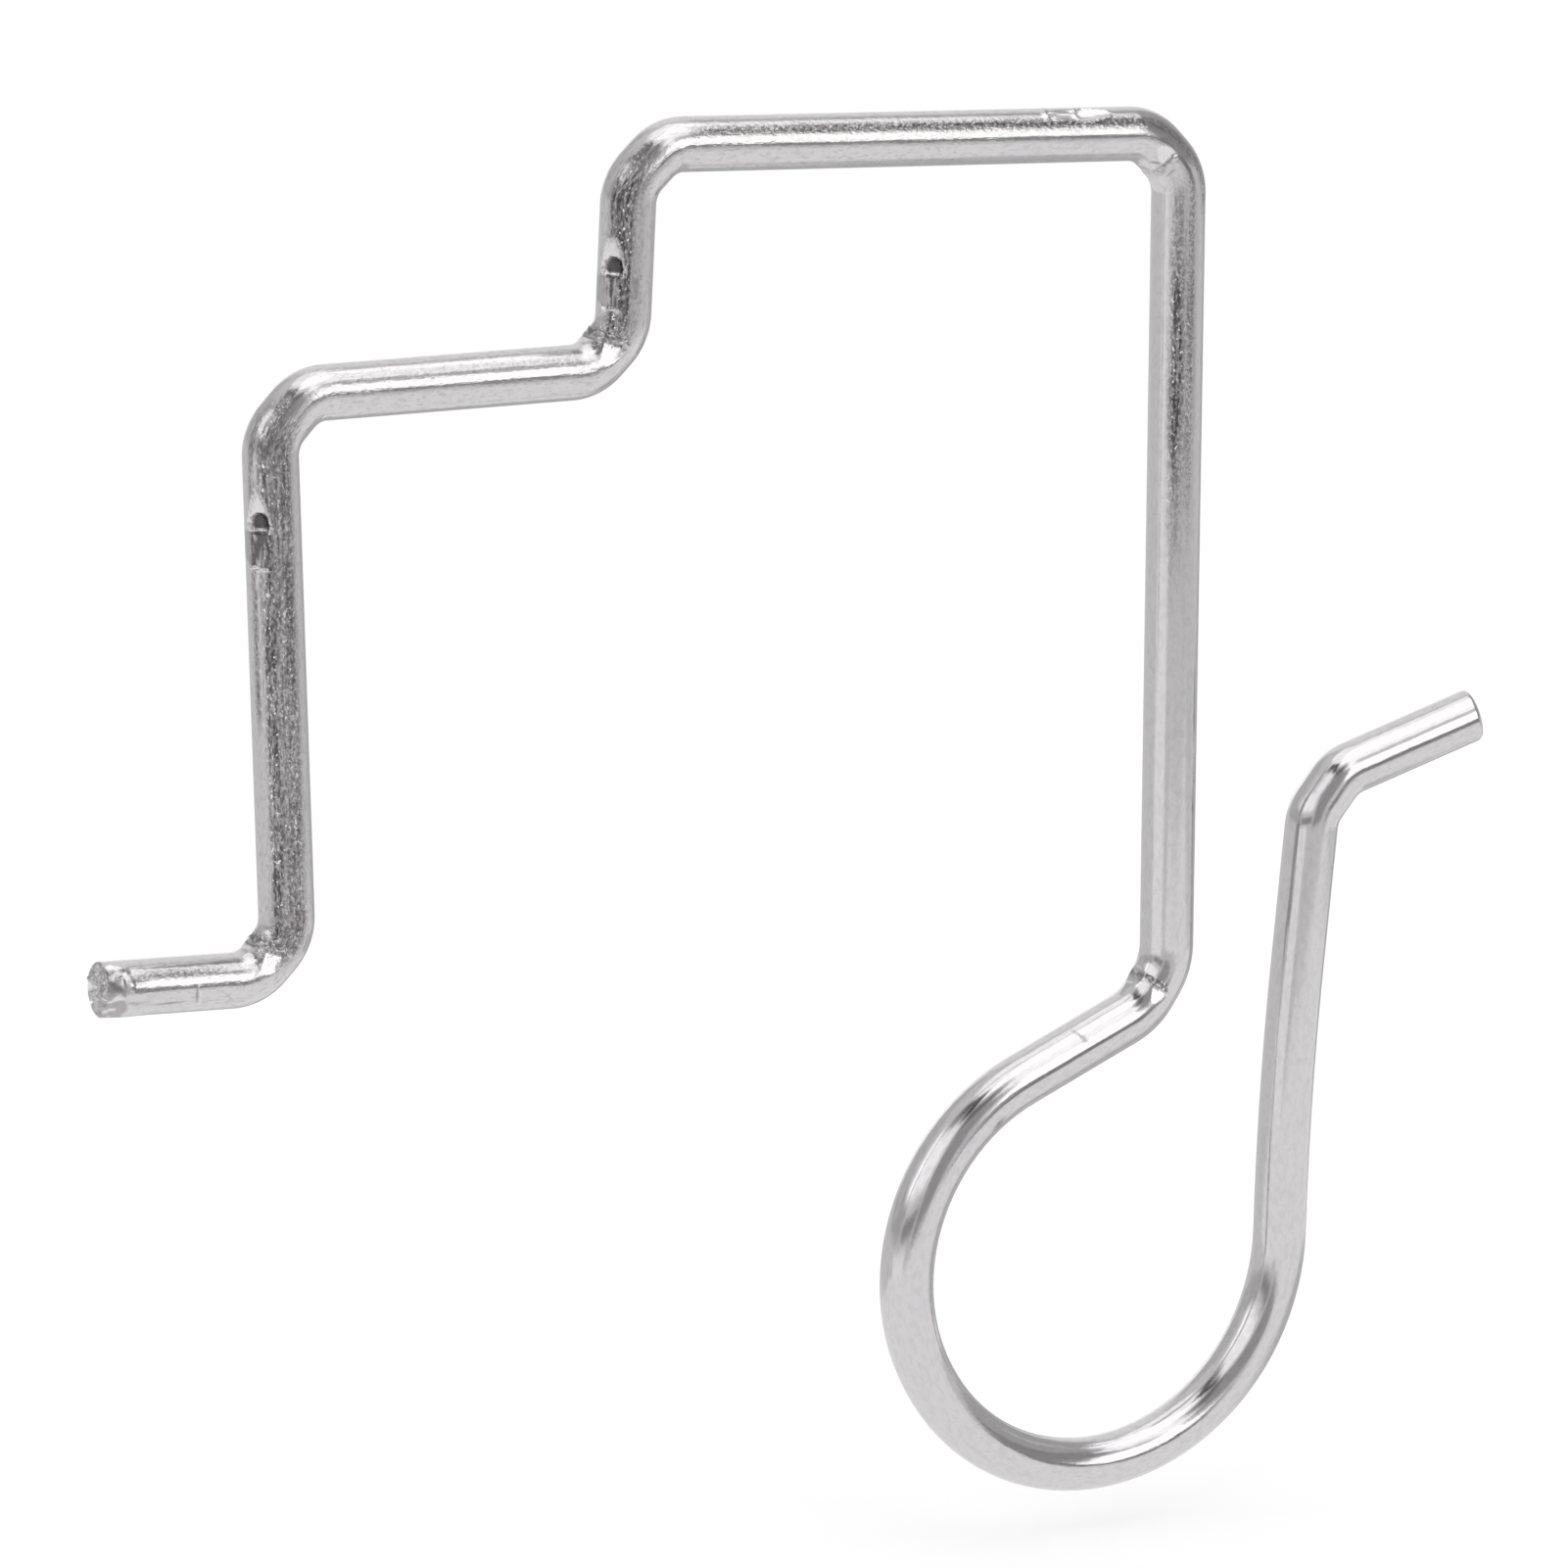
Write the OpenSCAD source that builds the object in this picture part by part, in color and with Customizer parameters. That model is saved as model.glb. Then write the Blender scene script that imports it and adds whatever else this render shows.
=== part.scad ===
// Gutter hook: one length of round stainless wire, cold bent so that its top bar rests on a
// gutter's lip and its open loop carries what hangs below. The wire's centre line lies in the
// XZ plane and +Z is up. The origin is the middle of the seat, on the top bar's underside.

/* [Wire] */
// Wire diameter
wire_d = 4; // [3:0.1:5]
// How much thinner bending draws the wire, across its diameter
bend_thin = 0.02; // [0.02:0.01:0.1]

/* [Straight legs between bends] */
// Tail, from its sheared end to the heel bend
tail_l = 10.2; // [6:0.1:20]
// Back leg, up from the heel bend
back_l = 33; // [20:0.5:50]
// Ledge, across from the back leg to the step
ledge_l = 19.5; // [10:0.5:30]
// Step, up from the ledge to the top bar
step_l = 7.8; // [6:0.1:16]
// Top bar, which rests on the gutter's lip
bar_l = 37; // [24:0.5:50]
// Drop leg, down in front of the gutter
drop_l = 56.7; // [44:0.1:80]
// Jog, from the foot of the drop leg in to the loop
jog_l = 9.6; // [6:0.1:14]
// Straight part of the throat leg, below the tip's bend
throat_l = 10.3; // [6:0.1:20]
// Tip, from its bend to the middle of its sheared end
tip_l = 11.2; // [6:0.1:20]

/* [Turns in degrees] */
// Heel, from the tail up to the back leg
heel_turn = 94.4; // [80:0.1:105]
// From the back leg over to the ledge
ledge_turn = 92.2; // [80:0.1:105]
// From the ledge up to the step
step_turn = 87.8; // [75:0.1:100]
// From the step over to the top bar
bar_turn = 90; // [75:0.1:100]
// Shoulder, from the top bar down to the drop leg
shoulder_turn = 87.4; // [75:0.1:100]
// Hip, from the drop leg in to the jog
hip_turn = 67.5; // [50:0.1:80]
// First part of the loop, down from the jog
loop_in_turn = 96.3; // [80:0.1:110]
// Rest of the loop, round and up to the throat leg
loop_out_turn = 150.3; // [130:0.1:160]
// Slow bow of the throat leg towards the tip
throat_turn = 4.6; // [1:0.1:8]
// Tip, out and away from the throat
tip_turn = 68.7; // [45:0.1:85]

/* [Bend radii at the wire's centre] */
// Each half of a square corner
corner_r = 3.4; // [3:0.1:6]
// Straight nip between the halves of a square corner
corner_nip = 1.1; // [0.5:0.1:2]
// Each half of the shoulder
shoulder_r = 3.8; // [3:0.1:6]
// Straight nip between the halves of the shoulder
shoulder_nip = 1.2; // [0.5:0.1:2]
// Each half of the hip
hip_r = 5; // [3:0.1:8]
// Straight nip between the halves of the hip
hip_nip = 1; // [0.5:0.1:2]
// Each half of the tip's bend
tip_r = 3.2; // [3:0.1:6]
// Straight nip between the halves of the tip's bend
tip_nip = 1.8; // [0.5:0.1:3]
// First part of the loop
loop_in_r = 15.6; // [12:0.1:20]
// Rest of the loop
loop_out_r = 16.3; // [12:0.1:20]
// Slow bow of the throat leg
throat_r = 260; // [150:5:400]
// Straight left between one of these bends and the next
pause_l = 0.2; // [0.2:0.1:2]

/* [Sheared ends] */
// Length along the wire of the facet that the cutters left on the tail
facet_l = 1.2; // [0.6:0.1:2]
// Depth of that facet at the very end
facet_depth = 0.5; // [0.2:0.05:1]
// Slant of the tip's cut in degrees, which leaves the front side shorter
tip_slant = 12; // [2:1:25]

/* [Marks of the bending tools] */
// Radius of the pin that each corner was folded over
pin_r = 1.6; // [1:0.1:2.5]
// Depth to which the pin sank into the inside of a corner
pin_depth = 0.22; // [0.05:0.01:0.4]
// Distance from the clamp's dent to the bend that follows it
dent_gap = 2; // [1:0.1:3]
// Length of the dent's ramp
dent_l = 3; // [2:0.1:4]
// Depth of the dent at its lip
dent_depth = 0.24; // [0.1:0.01:0.4]
// Length of the pressed land before the dent
land_l = 2.6; // [1:0.1:3]
// Depth of the pressed land
land_depth = 0.08; // [0.04:0.01:0.15]
// Angle round the wire from a corner's outside to the dent, towards the front
dent_side = 33; // [0:1:60]

/* [Hidden] */
$fn = 96;
wire_r = wire_d / 2;
steel = [0.8, 0.79, 0.77];
// Length of the lip's slope between the land and the dent
lip_l = 0.2;
// How far a cutting shape reaches past the wire
past = 2;
// Plain wire left between a bend and the marks after it
clear = 0.2;
// How far a straight's full gauge reaches into a bend
lap = 0.05;

// A set corner: two half turns with the straight nip between them
function corner(leg, turn, r, nip) = [[leg, turn / 2, r], [nip, turn / 2, r]];

// The bending list from tail to tip. Each row is a straight length, then the turn that follows
// it in degrees, positive to the left, and the turn's radius.
route = concat(
    corner(tail_l, heel_turn, corner_r, corner_nip),
    corner(back_l, -ledge_turn, corner_r, corner_nip),
    corner(ledge_l, step_turn, corner_r, corner_nip),
    corner(step_l, -bar_turn, corner_r, corner_nip),
    corner(bar_l, -shoulder_turn, shoulder_r, shoulder_nip),
    corner(drop_l, -hip_turn, hip_r, hip_nip),
    [
        [jog_l, loop_in_turn, loop_in_r],
        [pause_l, loop_out_turn, loop_out_r],
        [pause_l, -throat_turn, throat_r]
    ],
    corner(throat_l, -tip_turn, tip_r, tip_nip),
    [[tip_l + wire_r * tan(tip_slant), 0, 0]]
);

// Rows of the route that the features below refer to
TAIL = 0;
BAR = 8;
TIP = len(route) - 1;
NIPS = [1, 3, 5, 7, 9, 11, 16];
DENTED = [2, 6, 8];

// The place and heading [x, z, heading] at distance s along a straight from a start
function along(start, s) = [start[0] + s * cos(start[2]), start[1] + s * sin(start[2]), start[2]];

// The place and heading after the turn that starts at a state
function turned(start, turn, r) =
    let (side = sign(turn), h = start[2])
    [
        start[0] + side * r * (sin(h + turn) - sin(h)),
        start[1] - side * r * (cos(h + turn) - cos(h)),
        h + turn
    ];

// The start of every row of the route, from a first state
function starts(first, i = 0) =
    i == len(route) ? [] :
    let (row = route[i], next = turned(along(first, row[0]), row[1], row[2]))
    concat([first], starts(next, i + 1));

// The tail's heading, which lets the drop leg hang plumb
tail_heading = -90 - heel_turn + ledge_turn - step_turn + bar_turn + shoulder_turn;
rows = starts([0, 0, tail_heading]);

// The middle of the seat, on the underside of the top bar
bar_middle = along(rows[BAR], bar_l / 2);
seat = [bar_middle[0] + wire_r * sin(bar_middle[2]), bar_middle[1] - wire_r * cos(bar_middle[2])];

// Puts its children at a state: Z along the wire, X to the right of the way it runs
module at(state) {
    translate([state[0], 0, state[1]]) rotate([0, 90 - state[2], 0]) children();
}

// The straight of a row, whose full gauge reaches a little way into the bends at its ends
module straight(i) {
    before = i > TAIL ? lap : 0;
    after = i < TIP ? lap : 0;
    at(along(rows[i], -before)) cylinder(d = wire_d, h = before + route[i][0] + after);
}

// The bend of a row, about a centre to its left or its right
module bend(i) {
    turn = route[i][1];
    r = route[i][2];
    at(along(rows[i], route[i][0])) translate([-sign(turn) * r, 0, 0]) rotate([90, 0, 0])
        rotate_extrude(angle = abs(turn), start = turn > 0 ? 0 : 180 + turn)
        translate([r, 0]) circle(d = wire_d - bend_thin);
}

// The pin that sank into the inside of a corner, at the middle of its nip
module pin(i) {
    inside = -sign(route[i][1]);
    at(along(rows[i], route[i][0] / 2))
        translate([inside * (wire_r + pin_r - pin_depth), 0, 0])
        rotate([90, 0, 0]) cylinder(r = pin_r, h = wire_d + past, center = true);
}

// The clamp's jaw, which pressed a land and then dented the wire before a bend. The land keeps
// to the straight, clear of the bend before it.
module jaw(i) {
    lip = route[i][0] - dent_gap - dent_l;
    ramp = dent_depth / dent_l;
    land = min(land_l, lip - clear);
    outline = [
        [wire_r + past, lip - land],
        [wire_r - land_depth, lip - land],
        [wire_r - land_depth, lip - lip_l],
        [wire_r - dent_depth, lip],
        [wire_r + ramp * dent_gap, lip + dent_l + dent_gap],
        [wire_r + past, lip + dent_l + dent_gap]
    ];
    at(rows[i]) rotate([0, 0, 180 + dent_side]) rotate([90, 0, 0])
        linear_extrude(height = wire_d, center = true) polygon(outline);
}

// The cutters' facet on the front of the tail's end
module tail_facet() {
    at(rows[TAIL]) rotate([0, 0, -90]) translate([wire_r - facet_depth, 0, 0])
        rotate([0, atan(facet_depth / facet_l), 0])
        translate([0, -wire_d, -wire_d]) cube([wire_d, wire_d * 2, wire_d * 2]);
}

// The slanted cut that ends the tip, turned about the line across the wire in its own plane
module tip_cut() {
    at(along(rows[TIP], tip_l)) rotate([tip_slant, 0, 0])
        translate([-wire_d, -wire_d, 0]) cube([wire_d * 2, wire_d * 2, wire_d * 2]);
}

// The whole wire, bent, marked and sheared
module hook() {
    color(steel) translate([-seat[0], 0, -seat[1]]) difference() {
        union() {
            for (i = [TAIL:TIP]) straight(i);
            for (i = [TAIL:TIP - 1]) bend(i);
        }
        for (i = NIPS) pin(i);
        for (i = DENTED) jaw(i);
        tail_facet();
        tip_cut();
    }
}

hook();
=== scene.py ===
"""Gutter hook: one length of bright drawn stainless wire, cold bent, on a pale floor.

Lengths are written in millimetres and turned into metres where a mesh is made. The wire's
centre line lies in the XZ plane, and the origin is the middle of the seat, on the underside
of the top bar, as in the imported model.
"""

import logging
import math
from dataclasses import dataclass, field
from enum import Enum
from typing import Protocol

import bpy
import numpy as np
from mathutils import Matrix, Vector, noise


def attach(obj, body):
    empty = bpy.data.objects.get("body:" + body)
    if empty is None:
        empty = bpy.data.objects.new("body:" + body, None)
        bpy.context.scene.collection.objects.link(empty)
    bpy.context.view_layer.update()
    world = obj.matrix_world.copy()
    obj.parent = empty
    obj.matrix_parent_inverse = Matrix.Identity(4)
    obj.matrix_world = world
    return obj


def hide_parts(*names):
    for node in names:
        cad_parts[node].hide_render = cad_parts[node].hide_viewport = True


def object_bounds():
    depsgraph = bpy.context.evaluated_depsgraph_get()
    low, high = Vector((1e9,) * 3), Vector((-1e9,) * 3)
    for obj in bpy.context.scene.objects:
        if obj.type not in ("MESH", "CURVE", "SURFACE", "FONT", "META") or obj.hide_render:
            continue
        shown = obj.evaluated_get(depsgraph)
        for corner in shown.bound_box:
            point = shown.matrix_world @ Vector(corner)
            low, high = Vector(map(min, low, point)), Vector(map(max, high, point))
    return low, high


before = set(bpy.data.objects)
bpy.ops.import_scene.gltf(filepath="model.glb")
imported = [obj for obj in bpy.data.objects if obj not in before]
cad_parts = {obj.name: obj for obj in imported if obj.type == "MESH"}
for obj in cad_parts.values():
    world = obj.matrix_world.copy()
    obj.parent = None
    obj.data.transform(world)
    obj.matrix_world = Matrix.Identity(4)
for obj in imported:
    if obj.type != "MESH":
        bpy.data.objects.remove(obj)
CAD_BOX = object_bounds()

log = logging.getLogger("gutter_hook")
# One millimetre in metres
MM = 0.001
# Brings the noise to about -1 to 1
NOISE_GAIN = 1.6
# Closer than this, in millimetres, is the same place
TOUCH = 1e-4


@dataclass(frozen=True)
class Row:
    """One row of the bending list: a straight length, then a turn and its radius."""

    leg: float
    turn: float = 0.0
    radius: float = 0.0


@dataclass(frozen=True)
class State:
    """A place on the centre line and the heading there, in the XZ plane."""

    x: float
    z: float
    heading: float

    def direction(self) -> Vector:
        """Returns the unit vector along the wire."""
        a = math.radians(self.heading)
        return Vector((math.cos(a), 0.0, math.sin(a)))

    def left(self) -> Vector:
        """Returns the unit vector to the left of the way the wire runs."""
        a = math.radians(self.heading)
        return Vector((-math.sin(a), 0.0, math.cos(a)))

    def place(self) -> Vector:
        """Returns the place in metres."""
        return Vector((self.x, 0.0, self.z)) * MM

    def along(self, distance: float) -> "State":
        """Returns the state a straight distance further on."""
        d = self.direction()
        return State(self.x + distance * d.x, self.z + distance * d.z, self.heading)

    def turned(self, turn: float, radius: float) -> "State":
        """Returns the state after a turn.

        Args:
            turn: degrees, positive to the left.
            radius: radius of the centre line.

        Returns:
            The state at the turn's end.
        """
        side = math.copysign(radius, turn)
        after = State(0.0, 0.0, self.heading + turn)
        shift = self.left() * side - after.left() * side
        return State(self.x + shift.x, self.z + shift.z, after.heading)


@dataclass(frozen=True)
class BendingList:
    """The sizes that the wire is bent to, as the bending machine is set."""

    wire: float = 4.0
    tail: float = 10.2
    back: float = 33.0
    ledge: float = 19.5
    step: float = 7.8
    bar: float = 37.0
    drop: float = 56.7
    jog: float = 9.6
    pause: float = 0.2
    throat: float = 10.3
    tip: float = 11.2
    heel_turn: float = 94.4
    ledge_turn: float = 92.2
    step_turn: float = 87.8
    bar_turn: float = 90.0
    shoulder_turn: float = 87.4
    hip_turn: float = 67.5
    loop_in_turn: float = 96.3
    loop_out_turn: float = 150.3
    throat_turn: float = 4.6
    tip_turn: float = 68.7
    corner_r: float = 3.4
    corner_nip: float = 1.1
    shoulder_r: float = 3.8
    shoulder_nip: float = 1.2
    hip_r: float = 5.0
    hip_nip: float = 1.0
    tip_r: float = 3.2
    tip_nip: float = 1.8
    loop_in_r: float = 15.6
    loop_out_r: float = 16.3
    throat_r: float = 260.0

    def rows(self) -> list[Row]:
        """Writes out the bending list.

        Returns:
            The rows from tail to tip.
        """

        def corner(leg: float, turn: float, radius: float, nip: float) -> list[Row]:
            """Returns the two half turns of a set corner, with the nip between them."""
            return [Row(leg, turn / 2, radius), Row(nip, turn / 2, radius)]

        return [
            *corner(self.tail, self.heel_turn, self.corner_r, self.corner_nip),
            *corner(self.back, -self.ledge_turn, self.corner_r, self.corner_nip),
            *corner(self.ledge, self.step_turn, self.corner_r, self.corner_nip),
            *corner(self.step, -self.bar_turn, self.corner_r, self.corner_nip),
            *corner(self.bar, -self.shoulder_turn, self.shoulder_r, self.shoulder_nip),
            *corner(self.drop, -self.hip_turn, self.hip_r, self.hip_nip),
            Row(self.jog, self.loop_in_turn, self.loop_in_r),
            Row(self.pause, self.loop_out_turn, self.loop_out_r),
            Row(self.pause, -self.throat_turn, self.throat_r),
            *corner(self.throat, -self.tip_turn, self.tip_r, self.tip_nip),
            Row(self.tip),
        ]

    def tail_heading(self) -> float:
        """Returns the tail's heading, which lets the drop leg hang plumb."""
        return (-90.0 - self.heel_turn + self.ledge_turn - self.step_turn + self.bar_turn
                + self.shoulder_turn)

    def starts(self) -> list[State]:
        """Follows the bending list from the tail, with the middle of the seat as the origin.

        Returns:
            The start of each row.
        """
        rows = self.rows()
        states = [State(0.0, 0.0, self.tail_heading())]
        for row in rows[:-1]:
            end = states[-1].along(row.leg)
            states.append(end.turned(row.turn, row.radius) if row.turn else end)
        middle = states[BAR].along(self.bar / 2)
        seat = middle.left() * (-self.wire / 2)
        x, z = middle.x + seat.x, middle.z + seat.z
        return [State(s.x - x, s.z - z, s.heading) for s in states]


class Held(Enum):
    """The leg of a set corner that was held flat while the other leg was folded."""

    BEFORE = "before"
    AFTER = "after"


@dataclass(frozen=True)
class Crease:
    """How a set corner is creased inside.

    held is the leg that was held flat. fall is how far the crease drops for each millimetre
    along that leg, and strength is how much of it shows, from 0 to 1.
    """

    held: Held
    fall: float
    strength: float


# The rows of the bending list whose leg ends in a set corner
TAIL, BACK, LEDGE, STEP, BAR, DROP, THROAT = 0, 2, 4, 6, 8, 10, 15
SET_CORNERS = {
    TAIL: Crease(Held.BEFORE, 0.33, 1.0),
    BACK: Crease(Held.AFTER, 1.0, 0.0),
    LEDGE: Crease(Held.BEFORE, 0.33, 1.0),
    STEP: Crease(Held.AFTER, 1.0, 0.0),
    BAR: Crease(Held.BEFORE, 1.0, 0.6),
    DROP: Crease(Held.AFTER, 1.4, 0.9),
    THROAT: Crease(Held.AFTER, 1.0, 0.0),
}
LEFT, RIGHT = math.pi / 2, -math.pi / 2


def fade(value: np.ndarray, full: float, none: float) -> np.ndarray:
    """Returns 1 where value is at full and 0 where it is at none, smoothly between."""
    t = np.clip((value - none) / (full - none), 0.0, 1.0)
    return t * t * (3.0 - 2.0 * t)


def bump_at(value: np.ndarray, middle: float, width: float) -> np.ndarray:
    """Returns a bell curve of height 1 round the middle."""
    return np.exp(-(((value - middle) / width) ** 2))


def grain(points: np.ndarray, scale: tuple[float, float, float], seed: float) -> np.ndarray:
    """Returns smooth noise of about -1 to 1 at each point.

    Args:
        points: n rows of coordinates in millimetres.
        scale: how many waves to the millimetre along each of them.
        seed: moves the pattern to another place.

    Returns:
        n numbers.
    """
    shifted = points * np.array(scale) + seed
    return np.array([noise.noise(Vector(row)) for row in shifted]) * NOISE_GAIN


@dataclass
class Skin:
    """The wire's skin as arrays, with a row for each vertex.

    along is the distance from the tail's end and around is the angle from the front towards
    the left of the way the wire runs. left and front are the place across the wire, out is how
    far the vertex sits from the middle as a share of the radius. worn and torn say how much the
    tools have marked it, and grime is painted shade, dark in the creases, dents, scratch grooves
    and hollows. flat is the plain vertex's x and z.
    """

    along: np.ndarray
    around: np.ndarray
    left: np.ndarray
    front: np.ndarray
    out: np.ndarray
    worn: np.ndarray
    torn: np.ndarray
    painted_shade: np.ndarray
    flat: np.ndarray

    def towards(self, side: float) -> tuple[np.ndarray, np.ndarray]:
        """Returns how far each vertex lies towards an angle, and how far across from it."""
        c, k = math.cos(side), math.sin(side)
        return self.front * c + self.left * k, self.left * c - self.front * k

    def push(self, side: float, amount: np.ndarray) -> None:
        """Moves each vertex away from an angle by an amount in millimetres."""
        self.front -= math.cos(side) * amount
        self.left -= math.sin(side) * amount

    def swell(self, amount: np.ndarray) -> None:
        """Moves each vertex straight out by an amount in millimetres."""
        self.front += np.cos(self.around) * amount
        self.left += np.sin(self.around) * amount

    def from_side(self, side: float) -> np.ndarray:
        """Returns the angle in degrees between each vertex and a side."""
        turn = (self.around - side + math.pi) % (2 * math.pi) - math.pi
        return np.degrees(np.abs(turn))

    def unrolled(self, radius: float) -> np.ndarray:
        """Returns each vertex on a plain round bar, as three coordinates in millimetres."""
        return np.stack(
            [radius * np.cos(self.around), radius * np.sin(self.around), self.along], axis=1
        )


class Mark(Protocol):
    """Anything that a tool left on the wire."""

    def press(self, skin: Skin) -> None:
        """Moves the skin where the tool met it, and notes the wear and the dirt."""


@dataclass(frozen=True)
class PinMark:
    """The inside of a set corner, crushed over the bending pin.

    The pin leaves a shallow bite, and the leg that was held flat ends at a creased lip, where
    the other leg was folded on to it. A dark line along the crease and dark spots in the hollows
    of the crumpled metal are painted shade. flank, crush_sides and lip_sides are angles in
    degrees from the corner's inside, at which a mark is full and at which it is gone.
    """

    middle: float
    inside: float
    half_nip: float
    half_turn: float
    bend_radius: float
    radius: float
    leg: State
    side: float
    fall: float
    seed: float
    strength: float = 1.0
    pin: float = 1.6
    bite: float = 0.22
    reach: float = 6.0
    tilt: float = math.radians(15.5)
    proud: float = 0.08
    waver: float = 0.1
    flank: tuple[float, float] = (84.0, 102.0)
    edge: tuple[float, float] = (0.08, -0.04)
    lip: float = 0.08
    lip_width: float = 0.12
    lip_sides: tuple[float, float] = (45.0, 25.0)
    crumple: float = 0.1
    crush_width: float = 0.45
    crush_sides: tuple[float, float] = (60.0, 92.0)
    painted_dark: float = 0.85

    def crease(self, skin: Skin) -> tuple[np.ndarray, np.ndarray]:
        """Measures each vertex from the crease.

        Args:
            skin: the wire's skin.

        Returns:
            How far each vertex lies on the held leg's side of the crease, and how far it has
            risen from that leg's centre line towards the corner's inside.
        """
        way, across = self.leg.direction(), self.leg.left()
        x, z = skin.flat[:, 0] - self.leg.x, skin.flat[:, 1] - self.leg.z
        run = x * way.x + z * way.z
        rise = (x * across.x + z * across.z) * self.side
        c, k = math.cos(self.half_turn), math.sin(self.half_turn)
        knee = self.bend_radius * k + self.half_nip * c - self.radius * k
        top = self.bend_radius * (1.0 - c) + self.half_nip * k + self.radius * c - self.bite
        return top - self.fall * (run - knee) - rise, rise

    def press(self, skin: Skin) -> None:
        """Flattens the held leg, crumples the metal behind its crease and sinks the pin in.

        Args:
            skin: the wire's skin, which is marked round the corner.
        """
        run = skin.along - self.middle
        near = np.abs(run) < self.reach
        angle = skin.from_side(self.inside)
        spots = skin.unrolled(self.radius)
        wander, rough = np.zeros_like(run), np.zeros_like(run)
        wander[near] = grain(spots[near], (1.3, 1.3, 1.3), self.seed)
        rough[near] = grain(spots[near], (3.6, 3.6, 3.6), self.seed + 5.0)
        line, rise = self.crease(skin)
        line = line - self.waver * wander
        flank = fade(angle, *self.flank) * near * self.strength
        limit = (self.radius + self.proud - rise * math.sin(self.tilt)) / math.cos(self.tilt)
        cut = np.maximum(np.abs(skin.front) - limit, 0.0) * fade(line, *self.edge) * flank
        skin.front -= np.sign(skin.front) * cut
        crush = bump_at(line, -self.crush_width, self.crush_width) * (line < 0.0)
        crush = crush * fade(angle, *self.crush_sides) * near * self.strength
        lip = bump_at(line, -self.lip_width, self.lip_width) * flank * fade(angle, *self.lip_sides)
        skin.swell(self.lip * lip * (1.0 + wander) + self.crumple * rough * crush)
        shorter = (self.bend_radius - self.radius * np.cos(np.radians(angle))) / self.bend_radius
        past = np.maximum(np.abs(run) - self.half_nip, 0.0) * shorter
        off = np.minimum(np.abs(run), self.half_nip) + past
        pin_face = self.radius + self.pin - self.bite
        pin_face = pin_face - np.sqrt(np.clip(self.pin**2 - off**2, 0.0, None))
        height, _ = skin.towards(self.inside)
        bitten = np.maximum(height - pin_face, 0.0)
        skin.push(self.inside, bitten * (near & (off < self.pin)))
        worn = np.maximum(fade(cut, 0.02, 0.0), crush * fade(rough, 0.1, -0.2))
        skin.worn = np.maximum(skin.worn, worn * near)
        # Painted shade: a dark line along the crease and dark spots in the crumpled hollows
        painted_dark = np.maximum(bump_at(line, 0.05, 0.09) * flank, crush * fade(rough, -0.1, -0.45))
        skin.painted_shade = np.maximum(skin.painted_shade, self.painted_dark * painted_dark)


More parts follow.
